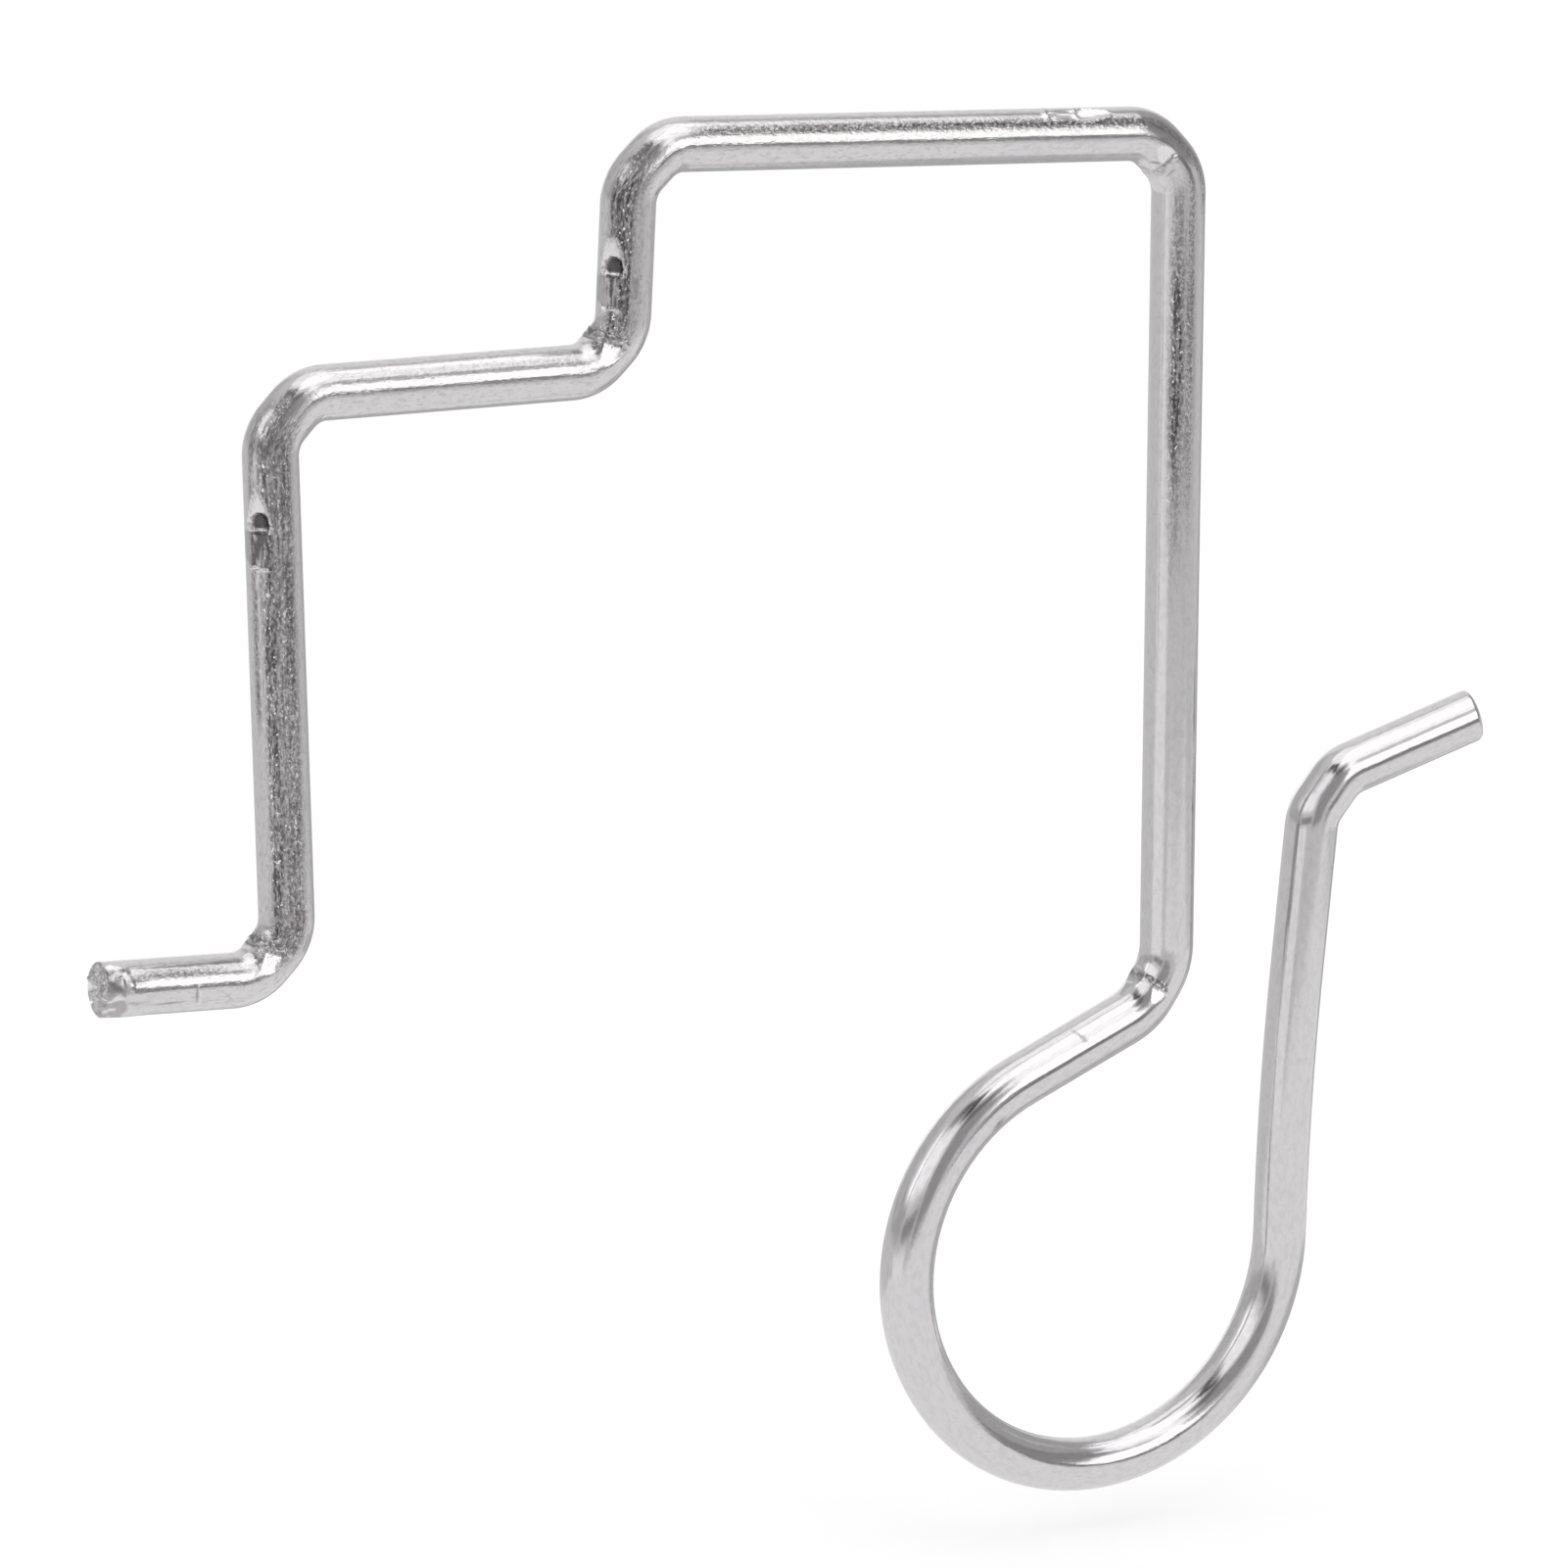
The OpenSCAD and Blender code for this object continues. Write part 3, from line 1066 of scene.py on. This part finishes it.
@dataclass(frozen=True)
class Viewpoint:
    """Where the camera stands and how it is held."""

    azimuth: float = -29.0
    elevation: float = 12.5
    roll: float = 0.3655
    distance: float = 655.54
    target: tuple[float, float, float] = (-9.788, 0.0, -44.683)
    lens: float = 206.87
    sensor: float = 36.0

    def build(self) -> bpy.types.Object:
        """Makes the camera and sets it as the scene's own.

        Returns:
            The camera.
        """
        turn = Matrix.Rotation(math.radians(self.azimuth), 4, "Z")
        tilt = Matrix.Rotation(math.radians(90.0 - self.elevation), 4, "X")
        roll = Matrix.Rotation(math.radians(self.roll), 4, "Z")
        pose = turn @ tilt @ roll
        back = pose.to_3x3() @ Vector((0.0, 0.0, self.distance * MM))
        data = bpy.data.cameras.new("camera")
        data.lens = self.lens
        data.sensor_width = self.sensor
        data.clip_start = 0.01
        data.clip_end = 20.0
        camera = bpy.data.objects.new("camera", data)
        camera.matrix_world = Matrix.Translation(Vector(self.target) * MM + back) @ pose
        bpy.context.collection.objects.link(camera)
        bpy.context.scene.camera = camera
        return camera


class Graph:
    """Writes a node tree, a node at a time."""

    def __init__(self, tree: bpy.types.NodeTree) -> None:
        """Empties the tree.

        Args:
            tree: the node tree to write.
        """
        self.tree = tree
        tree.nodes.clear()

    def node(self, kind: str, **inputs: object) -> bpy.types.Node:
        """Adds a node.

        Args:
            kind: the node's type name.
            **inputs: values or sockets by input name, with underscores for spaces; a name
                that is also a property of the node sets that property.

        Returns:
            The new node.
        """
        made = self.tree.nodes.new(kind)
        for name, value in inputs.items():
            if hasattr(made, name):
                setattr(made, name, value)
                continue
            key = int(name[1:]) if name[0] == "i" and name[1:].isdigit() else name.replace("_", " ")
            if isinstance(value, bpy.types.NodeSocket):
                self.tree.links.new(value, made.inputs[key])
            else:
                made.inputs[key].default_value = value
        return made

    def math(self, operation: str, *values: object) -> bpy.types.NodeSocket:
        """Adds a Math node and returns its output.

        Args:
            operation: the node's operation.
            *values: numbers or sockets.

        Returns:
            The result's socket.
        """
        inputs = {f"i{i}": value for i, value in enumerate(values)}
        return self.node("ShaderNodeMath", operation=operation, **inputs).outputs[0]

    def ramp(self, value: object, low: float, high: float) -> bpy.types.NodeSocket:
        """Returns a smooth step from 0 at low to 1 at high."""
        made = self.node("ShaderNodeMapRange", interpolation_type="SMOOTHSTEP", Value=value,
                         From_Min=low, From_Max=high)
        return made.outputs[0]

    def mix(self, share: object, low: object, high: object) -> bpy.types.NodeSocket:
        """Returns the number low where share is 0 and the number high where it is 1."""
        return self.node("ShaderNodeMix", i0=share, i2=low, i3=high).outputs[0]

    def tint(self, share: object, low: object, high: object) -> bpy.types.NodeSocket:
        """Returns the colour low where share is 0 and the colour high where it is 1."""
        made = self.node("ShaderNodeMix", data_type="RGBA", i0=share, i6=low, i7=high)
        return made.outputs[2]


@dataclass(frozen=True)
class Panel:
    """A soft lamp, placed by its direction from the hook.

    power is the watts that each square metre takes at a glow of 1.
    """

    name: str
    bearing: float
    elevation: float
    distance: float
    width: float
    height: float
    glow: float
    tint: tuple[float, float, float] = (1.0, 1.0, 1.0)
    power: float = 4.0

    def build(self, middle: Vector) -> bpy.types.Object:
        """Makes the lamp, facing the hook.

        Args:
            middle: the hook's middle.

        Returns:
            The lamp.
        """
        data = bpy.data.lights.new(self.name, "AREA")
        data.shape = "RECTANGLE"
        data.size, data.size_y = self.width, self.height
        data.energy = self.power * self.width * self.height * self.glow
        data.color = self.tint
        lamp = bpy.data.objects.new(self.name, data)
        turn = Matrix.Rotation(math.radians(self.bearing), 4, "Z")
        tilt = Matrix.Rotation(math.radians(90.0 - self.elevation), 4, "X")
        back = (turn @ tilt).to_3x3() @ Vector((0.0, 0.0, self.distance))
        lamp.matrix_world = Matrix.Translation(middle + back) @ turn @ tilt
        lamp.visible_camera = False
        bpy.context.collection.objects.link(lamp)
        return lamp


@dataclass(frozen=True)
class Zone:
    """A part of the tent's wall that is paler or darker than the rest."""

    bearings: tuple[float, float]
    rises: tuple[float, float]
    level: float
    edge: float = 4.0

    def mask(self, g: Graph, bearing: object, rise: object) -> bpy.types.NodeSocket:
        """Returns 1 inside the zone and 0 outside it, with soft edges.

        Args:
            g: the graph to write in.
            bearing: degrees round from the hook's front, positive to its right.
            rise: degrees above the horizon.

        Returns:
            The mask's socket.
        """
        result = None
        for value, (low, high), edge in (
            (bearing, self.bearings, self.edge * 2),
            (rise, self.rises, self.edge),
        ):
            band = g.math("MULTIPLY", g.ramp(value, low - edge / 2, low + edge / 2),
                          g.ramp(value, high + edge / 2, high - edge / 2))
            result = band if result is None else g.math("MULTIPLY", result, band)
        return result


@dataclass
class Studio:
    """The pale floor, the open-fronted tent round it and its lamps.

    The sheet lies under the hook for the steel to mirror, and is a little dimmer beside the
    loop. sheet_low and sheet_high are its corners, dim_middle is the middle of the dimmer
    place, and dim_reach is how far from there it is gone and full, all in metres.
    """

    sheet_low: tuple[float, float] = (-0.100, -0.230)
    sheet_high: tuple[float, float] = (0.200, 0.040)
    drop: float = 0.003
    sheet_glow: float = 0.89
    sheet_dim: float = 0.38
    dim_middle: tuple[float, float] = (0.07, 0.016)
    dim_reach: tuple[float, float] = (0.042, 0.018)
    floor_half: float = 2.0
    floor_matt: float = 0.5
    floor_glow: float = 0.6
    walls: float = 0.68
    zones: tuple[Zone, ...] = (
        # Below the horizon, darker to the right
        Zone((-200.0, 200.0), (-95.0, -17.0), 0.86, 6.0),
        Zone((94.0, 136.0), (-47.0, -20.0), 0.22, 6.0),
        Zone((94.0, 150.0), (-80.0, -47.0), 0.52, 6.0),
        Zone((104.0, 160.0), (-20.0, 4.0), 0.5, 5.0),
        Zone((110.0, 165.0), (-50.0, -10.0), 0.52, 6.0),
        # Round the horizon, with a dark gap under the lamp
        Zone((-165.0, -84.0), (2.0, 20.0), 0.48, 6.0),
        Zone((-98.0, -50.0), (-22.0, -2.0), 0.93, 5.0),
        Zone((-50.0, 72.0), (-16.0, 6.0), 0.66, 5.0),
        Zone((17.0, 48.0), (-8.0, 5.0), 0.25, 3.0),
        # A pale wall on the left, under a dark edge
        Zone((-108.0, -38.0), (19.0, 49.0), 1.15, 9.0),
        Zone((-104.0, -85.0), (20.0, 46.0), 1.5, 6.0),
        Zone((-98.0, -37.0), (51.0, 69.0), 0.34, 5.0),
        Zone((-84.0, -40.0), (57.0, 69.0), 0.12, 4.0),
        Zone((-48.0, -34.0), (46.0, 62.0), 0.04, 3.0),
        Zone((-80.0, -36.0), (2.0, 11.0), 0.3),
        # The back
        Zone((134.0, 200.0), (6.0, 58.0), 0.86, 6.0),
        Zone((148.0, 200.0), (-4.0, 12.0), 1.2, 5.0),
        Zone((-200.0, -126.0), (6.0, 42.0), 0.56, 6.0),
        # Dark flags on both sides of the lamp
        Zone((36.0, 128.0), (4.0, 53.0), 0.44),
        Zone((38.0, 62.0), (4.0, 48.0), 0.3),
        Zone((-31.0, 4.0), (-3.0, 50.0), 0.36),
        Zone((-32.0, -10.0), (36.0, 48.0), 0.18),
        # The pale roof, down to the lamp's upper edge
        Zone((-200.0, 200.0), (66.0, 95.0), 1.2),
        Zone((-35.0, 64.0), (56.0, 95.0), 1.5, 3.0),
        Zone((71.0, 112.0), (55.5, 95.0), 1.5, 3.0),
        Zone((-3.0, 15.0), (32.0, 60.0), 1.35, 3.0),
        Zone((13.0, 52.0), (45.0, 58.0), 1.3, 3.0),
        Zone((15.0, 33.0), (32.0, 44.0), 0.7, 3.0),
        Zone((11.0, 37.0), (4.0, 33.0), 0.05, 3.0),
    )
    panels: tuple[Panel, ...] = (
        Panel("front_lamp", 23.7, 19.1, 1.5, 0.65, 0.74, 1.25, (1.0, 0.985, 0.97)),
    )

    def world(self) -> None:
        """Makes the tent: pale walls with their zones, and white to the camera."""
        made = bpy.data.worlds.new("tent")
        made.use_nodes = True
        g = Graph(made.node_tree)
        way = g.node("ShaderNodeTexCoord").outputs["Generated"]
        part = g.node("ShaderNodeSeparateXYZ", Vector=way).outputs
        bearing = g.math("DEGREES", g.math("ARCTAN2", part[0], g.math("MULTIPLY", part[1], -1.0)))
        rise = g.math("DEGREES", g.math("ARCSINE", part[2]))
        glow = self.walls
        for zone in self.zones:
            glow = g.mix(zone.mask(g, bearing, rise), glow, zone.level)
        glow = g.mix(g.node("ShaderNodeLightPath").outputs["Is Camera Ray"], glow, 1.0)
        back = g.node("ShaderNodeBackground", Color=(1.0, 1.0, 1.0, 1.0), Strength=glow).outputs[0]
        g.node("ShaderNodeOutputWorld", Surface=back)
        bpy.context.scene.world = made

    def plane(self, name: str, low: Vector, high: Vector) -> bpy.types.Object:
        """Makes a flat sheet on the ground.

        Args:
            name: its name.
            low: its lowest corner.
            high: its highest corner.

        Returns:
            The sheet.
        """
        bpy.ops.object.select_all(action="DESELECT")
        bpy.ops.mesh.primitive_plane_add(size=1.0, location=(low + high) / 2)
        sheet = bpy.context.object
        sheet.name = name
        sheet.scale = (high.x - low.x, high.y - low.y, 1.0)
        bpy.ops.object.transform_apply()
        return sheet

    def dress(self, sheet: bpy.types.Object, matt: float, glow: float, dim: float = 0.0) -> None:
        """Gives a sheet its paper.

        Args:
            sheet: the sheet.
            matt: the colour that the lamps light and the hook shades.
            glow: the light it gives of itself.
            dim: the share of that light missing beside the loop.
        """
        paper = bpy.data.materials.new(sheet.name)
        paper.use_nodes = True
        g = Graph(paper.node_tree)
        if dim:
            place = g.node("ShaderNodeTexCoord").outputs["Object"]
            flat = g.node("ShaderNodeVectorMath", operation="MULTIPLY", i0=place,
                          i1=(1.0, 1.0, 0.0)).outputs[0]
            apart = g.node("ShaderNodeVectorMath", operation="DISTANCE", i0=flat,
                           i1=(*self.dim_middle, 0.0)).outputs["Value"]
            glow = g.math("MULTIPLY_ADD", g.ramp(apart, *self.dim_reach), -dim * glow, glow)
        lit = g.node("ShaderNodeBsdfDiffuse", Color=(matt, matt, matt, 1.0)).outputs[0]
        white = g.node("ShaderNodeEmission", Color=(1.0, 1.0, 1.0, 1.0), Strength=glow).outputs[0]
        both = g.node("ShaderNodeAddShader", i0=lit, i1=white).outputs[0]
        g.node("ShaderNodeOutputMaterial", Surface=both)
        sheet.data.materials.append(paper)

    def build(self) -> None:
        """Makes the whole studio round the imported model."""
        low, high = (Vector(v) for v in CAD_BOX)
        ground = low.z - self.drop
        sheet = self.plane("sheet", Vector((*self.sheet_low, ground)),
                           Vector((*self.sheet_high, ground)))
        self.dress(sheet, 0.0, self.sheet_glow, self.sheet_dim)
        for ray in ("camera", "diffuse", "shadow", "transmission"):
            setattr(sheet, f"visible_{ray}", False)
        half = self.floor_half
        floor = self.plane("floor", Vector((-half, -half, ground)), Vector((half, half, ground)))
        self.dress(floor, self.floor_matt, self.floor_glow)
        floor.visible_glossy = False
        self.world()
        for panel in self.panels:
            panel.build((low + high) / 2)


@dataclass(frozen=True)
class Pattern:
    """A noise pattern on the skin, drawn out along the wire.

    scale is how many waves there are to the millimetre across the wire, and stretch is the
    share of that along it. detail is how many finer layers are added, and place moves the
    pattern elsewhere. low and high are the noise at which its step is 0 and 1.
    """

    scale: float
    stretch: float
    detail: float = 2.0
    place: float = 0.0
    low: float = 0.0
    high: float = 1.0

    def write(self, g: Graph, skin: bpy.types.NodeSocket) -> bpy.types.NodeSocket:
        """Writes the pattern's nodes.

        Args:
            g: the graph to write in.
            skin: the unrolled place on the wire.

        Returns:
            The noise's socket.
        """
        put = g.node("ShaderNodeMapping", Vector=skin, Location=(self.place,) * 3,
                     Scale=(1.0, 1.0, self.stretch)).outputs[0]
        made = g.node("ShaderNodeTexNoise", Vector=put, Scale=self.scale, Detail=self.detail)
        return made.outputs[0]

    def step(self, g: Graph, value: bpy.types.NodeSocket) -> bpy.types.NodeSocket:
        """Returns the smooth step of the pattern's noise, from 0 at low to 1 at high."""
        return g.ramp(value, self.low, self.high)


@dataclass(frozen=True)
class DrawnSteel:
    """Bright stainless wire as it leaves the drawing die: grainy, with fine lines along it.

    The reliefs say how much each texture adds to the bump, of which one unit is depth high.
    The losses say how much each takes from the gloss, and the shares how dark the stripes of
    pits are, which are partly a painted dark reflection.
    """

    colour: tuple[float, float, float, float] = (0.725, 0.71, 0.72, 1.0)
    shade: tuple[float, float, float, float] = (0.67, 0.655, 0.667, 1.0)
    speck_colour: tuple[float, float, float, float] = (0.6, 0.587, 0.594, 1.0)
    torn_colour: tuple[float, float, float, float] = (0.9, 0.89, 0.89, 1.0)
    # Dark of the pits, of their painted dark reflection and of the painted shade
    pit_and_shade_colour: tuple[float, float, float, float] = (0.12, 0.108, 0.112, 1.0)
    # Bright metal where worn, and of the bright spots among the pits, which are painted glints
    burnish_and_glint_colour: tuple[float, float, float, float] = (0.95, 0.93, 0.94, 1.0)
    speckle: Pattern = Pattern(5.0, 0.55)
    lines: Pattern = Pattern(9.0, 0.035, place=4.0)
    patches: Pattern = Pattern(0.9, 0.3, 3.0, 9.0, 0.35, 0.65)
    mottle: Pattern = Pattern(2.6, 0.5, 2.0, 17.0, 0.38, 0.72)
    ragged: Pattern = Pattern(3.2, 1.0, 4.0, 23.0)
    pits: Pattern = Pattern(5.5, 0.45, 1.0, 31.0, 0.60, 0.42)
    seams: Pattern = Pattern(3.4, 0.06, 2.0, 37.0, 0.40, 0.62)
    # Bright spots among the pits: bare metal standing as painted glints
    flecks: Pattern = Pattern(4.5, 0.7, 1.0, 43.0, 0.645, 0.70)
    specks: Pattern = Pattern(4.6, 0.4, 1.0, 51.0, 0.56, 0.68)
    depth: float = 0.011 * MM
    least_relief: float = 0.5
    patch_relief: float = 0.7
    line_relief: float = 0.42
    pitted_relief: float = 7.0
    torn_relief: float = 5.0
    worn_relief: float = 1.8
    strained_relief: float = 0.6
    gloss_loss: float = 0.09
    patch_loss: float = 0.05
    coarse_loss: float = 0.05
    torn_loss: float = 0.16
    worn_loss: float = 0.05
    worn_gleam: float = 0.5
    least_share: float = 0.36
    pit_share: float = 0.42
    seam_share: float = 0.35

    def relief(self, g: Graph, noises: dict[str, bpy.types.NodeSocket],
               marks: dict[str, bpy.types.NodeSocket]) -> bpy.types.NodeSocket:
        """Writes the bump: grain and draw lines, coarser in the pits and where the wire is torn.

        Args:
            g: the graph to write in.
            noises: the patterns' noise by name.
            marks: how marked the skin is, by the attributes' names.

        Returns:
            The bumped normal's socket.
        """
        some = g.math("MULTIPLY_ADD", self.patches.step(g, noises["patches"]),
                      self.patch_relief, self.least_relief)
        amount = g.math("MULTIPLY", g.math("MULTIPLY", marks["coarse"], some),
                        g.math("MULTIPLY_ADD", marks["strained"], self.strained_relief, 1.0))
        amount = g.math("MULTIPLY_ADD", marks["pits_and_painted_reflection"], self.pitted_relief, amount)
        height = g.math("MULTIPLY", noises["speckle"], amount)
        height = g.math("MULTIPLY_ADD", noises["lines"], self.line_relief, height)
        for mark, pattern, relief in (("torn", "ragged", self.torn_relief),
                                      ("worn", "mottle", self.worn_relief)):
            height = g.math("MULTIPLY_ADD", g.math("MULTIPLY", marks[mark], noises[pattern]),
                            relief, height)
        bump = g.node("ShaderNodeBump", Height=height, Strength=1.0, Distance=self.depth)
        return bump.outputs[0]

    def tinted(self, g: Graph, noises: dict[str, bpy.types.NodeSocket],
               marks: dict[str, bpy.types.NodeSocket]) -> bpy.types.NodeSocket:
        """Writes the colour: pale where worn or torn, dark in the pits and in the painted shade.

        The stripes of pits also paint a dark reflection, and their bright spots are
        painted glints.

        Args:
            g: the graph to write in.
            noises: the patterns' noise by name.
            marks: how marked the skin is, by the attributes' names.

        Returns:
            The colour's socket.
        """
        colour = g.tint(self.mottle.step(g, noises["mottle"]), self.colour, self.shade)
        specks = g.math("MULTIPLY", marks["coarse"], self.specks.step(g, noises["specks"]))
        colour = g.tint(specks, colour, self.speck_colour)
        colour = g.tint(marks["torn"], colour, self.torn_colour)
        gleam = g.math("MULTIPLY", marks["worn"], self.worn_gleam)
        colour = g.tint(gleam, colour, self.burnish_and_glint_colour)
        pits = g.math("MULTIPLY_ADD", self.pits.step(g, noises["pits"]), self.pit_share,
                      self.least_share)
        share = g.math("MULTIPLY_ADD", self.seams.step(g, noises["seams"]), self.seam_share, pits)
        # The stripes of pits are partly a painted dark reflection, and their bright spots painted
        # glints
        dark_band = g.math("MULTIPLY", marks["pits_and_painted_reflection"], g.math("SUBTRACT", 1.0, marks["worn"]))
        flecks = g.math("MULTIPLY", dark_band, self.flecks.step(g, noises["flecks"]))
        colour = g.tint(flecks, colour, self.burnish_and_glint_colour)
        dark = g.math("MULTIPLY", dark_band, g.math("SUBTRACT", 1.0, flecks))
        # Painted shade from the creases, dents, scratch grooves and hollows is dark too
        dark = g.math("MAXIMUM", g.math("MULTIPLY", dark, share), marks["painted_shade"])
        return g.tint(dark, colour, self.pit_and_shade_colour)

    def build(self) -> bpy.types.Material:
        """Writes the material.

        Returns:
            The material.
        """
        made = bpy.data.materials.new("drawn_steel")
        made.use_nodes = True
        g = Graph(made.node_tree)
        skin = g.node("ShaderNodeAttribute", attribute_name="unrolled").outputs["Vector"]
        marks = {name: g.node("ShaderNodeAttribute", attribute_name=name).outputs["Fac"]
                 for name in ("worn", "torn", "strained", "coarse", "pits_and_painted_reflection", "painted_shade")}
        noises = {name: pattern.write(g, skin) for name, pattern in vars(self).items()
                  if isinstance(pattern, Pattern)}
        rough = g.math("MULTIPLY_ADD", marks["coarse"], self.coarse_loss, self.gloss_loss)
        for amount, loss in ((noises["patches"], self.patch_loss),
                             (marks["worn"], self.worn_loss), (marks["torn"], self.torn_loss)):
            rough = g.math("MULTIPLY_ADD", amount, loss, rough)
        shader = g.node("ShaderNodeBsdfPrincipled", Metallic=1.0, Roughness=rough,
                        Base_Color=self.tinted(g, noises, marks),
                        Normal=self.relief(g, noises, marks)).outputs[0]
        g.node("ShaderNodeOutputMaterial", Surface=shader)
        return made


def main() -> None:
    """Builds the hook, its finish and the studio."""
    logging.basicConfig(level=logging.INFO, format="%(name)s: %(message)s")
    bpy.context.scene.view_settings.view_transform = "Standard"
    Viewpoint().build()
    Studio().build()
    wire = BentWire().build()
    wire.data.materials.append(DrawnSteel().build())
    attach(wire, "root")
    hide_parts("hook")
    log.info("bent wire: %d vertices", len(wire.data.vertices))


if __name__ == "__main__":
    main()
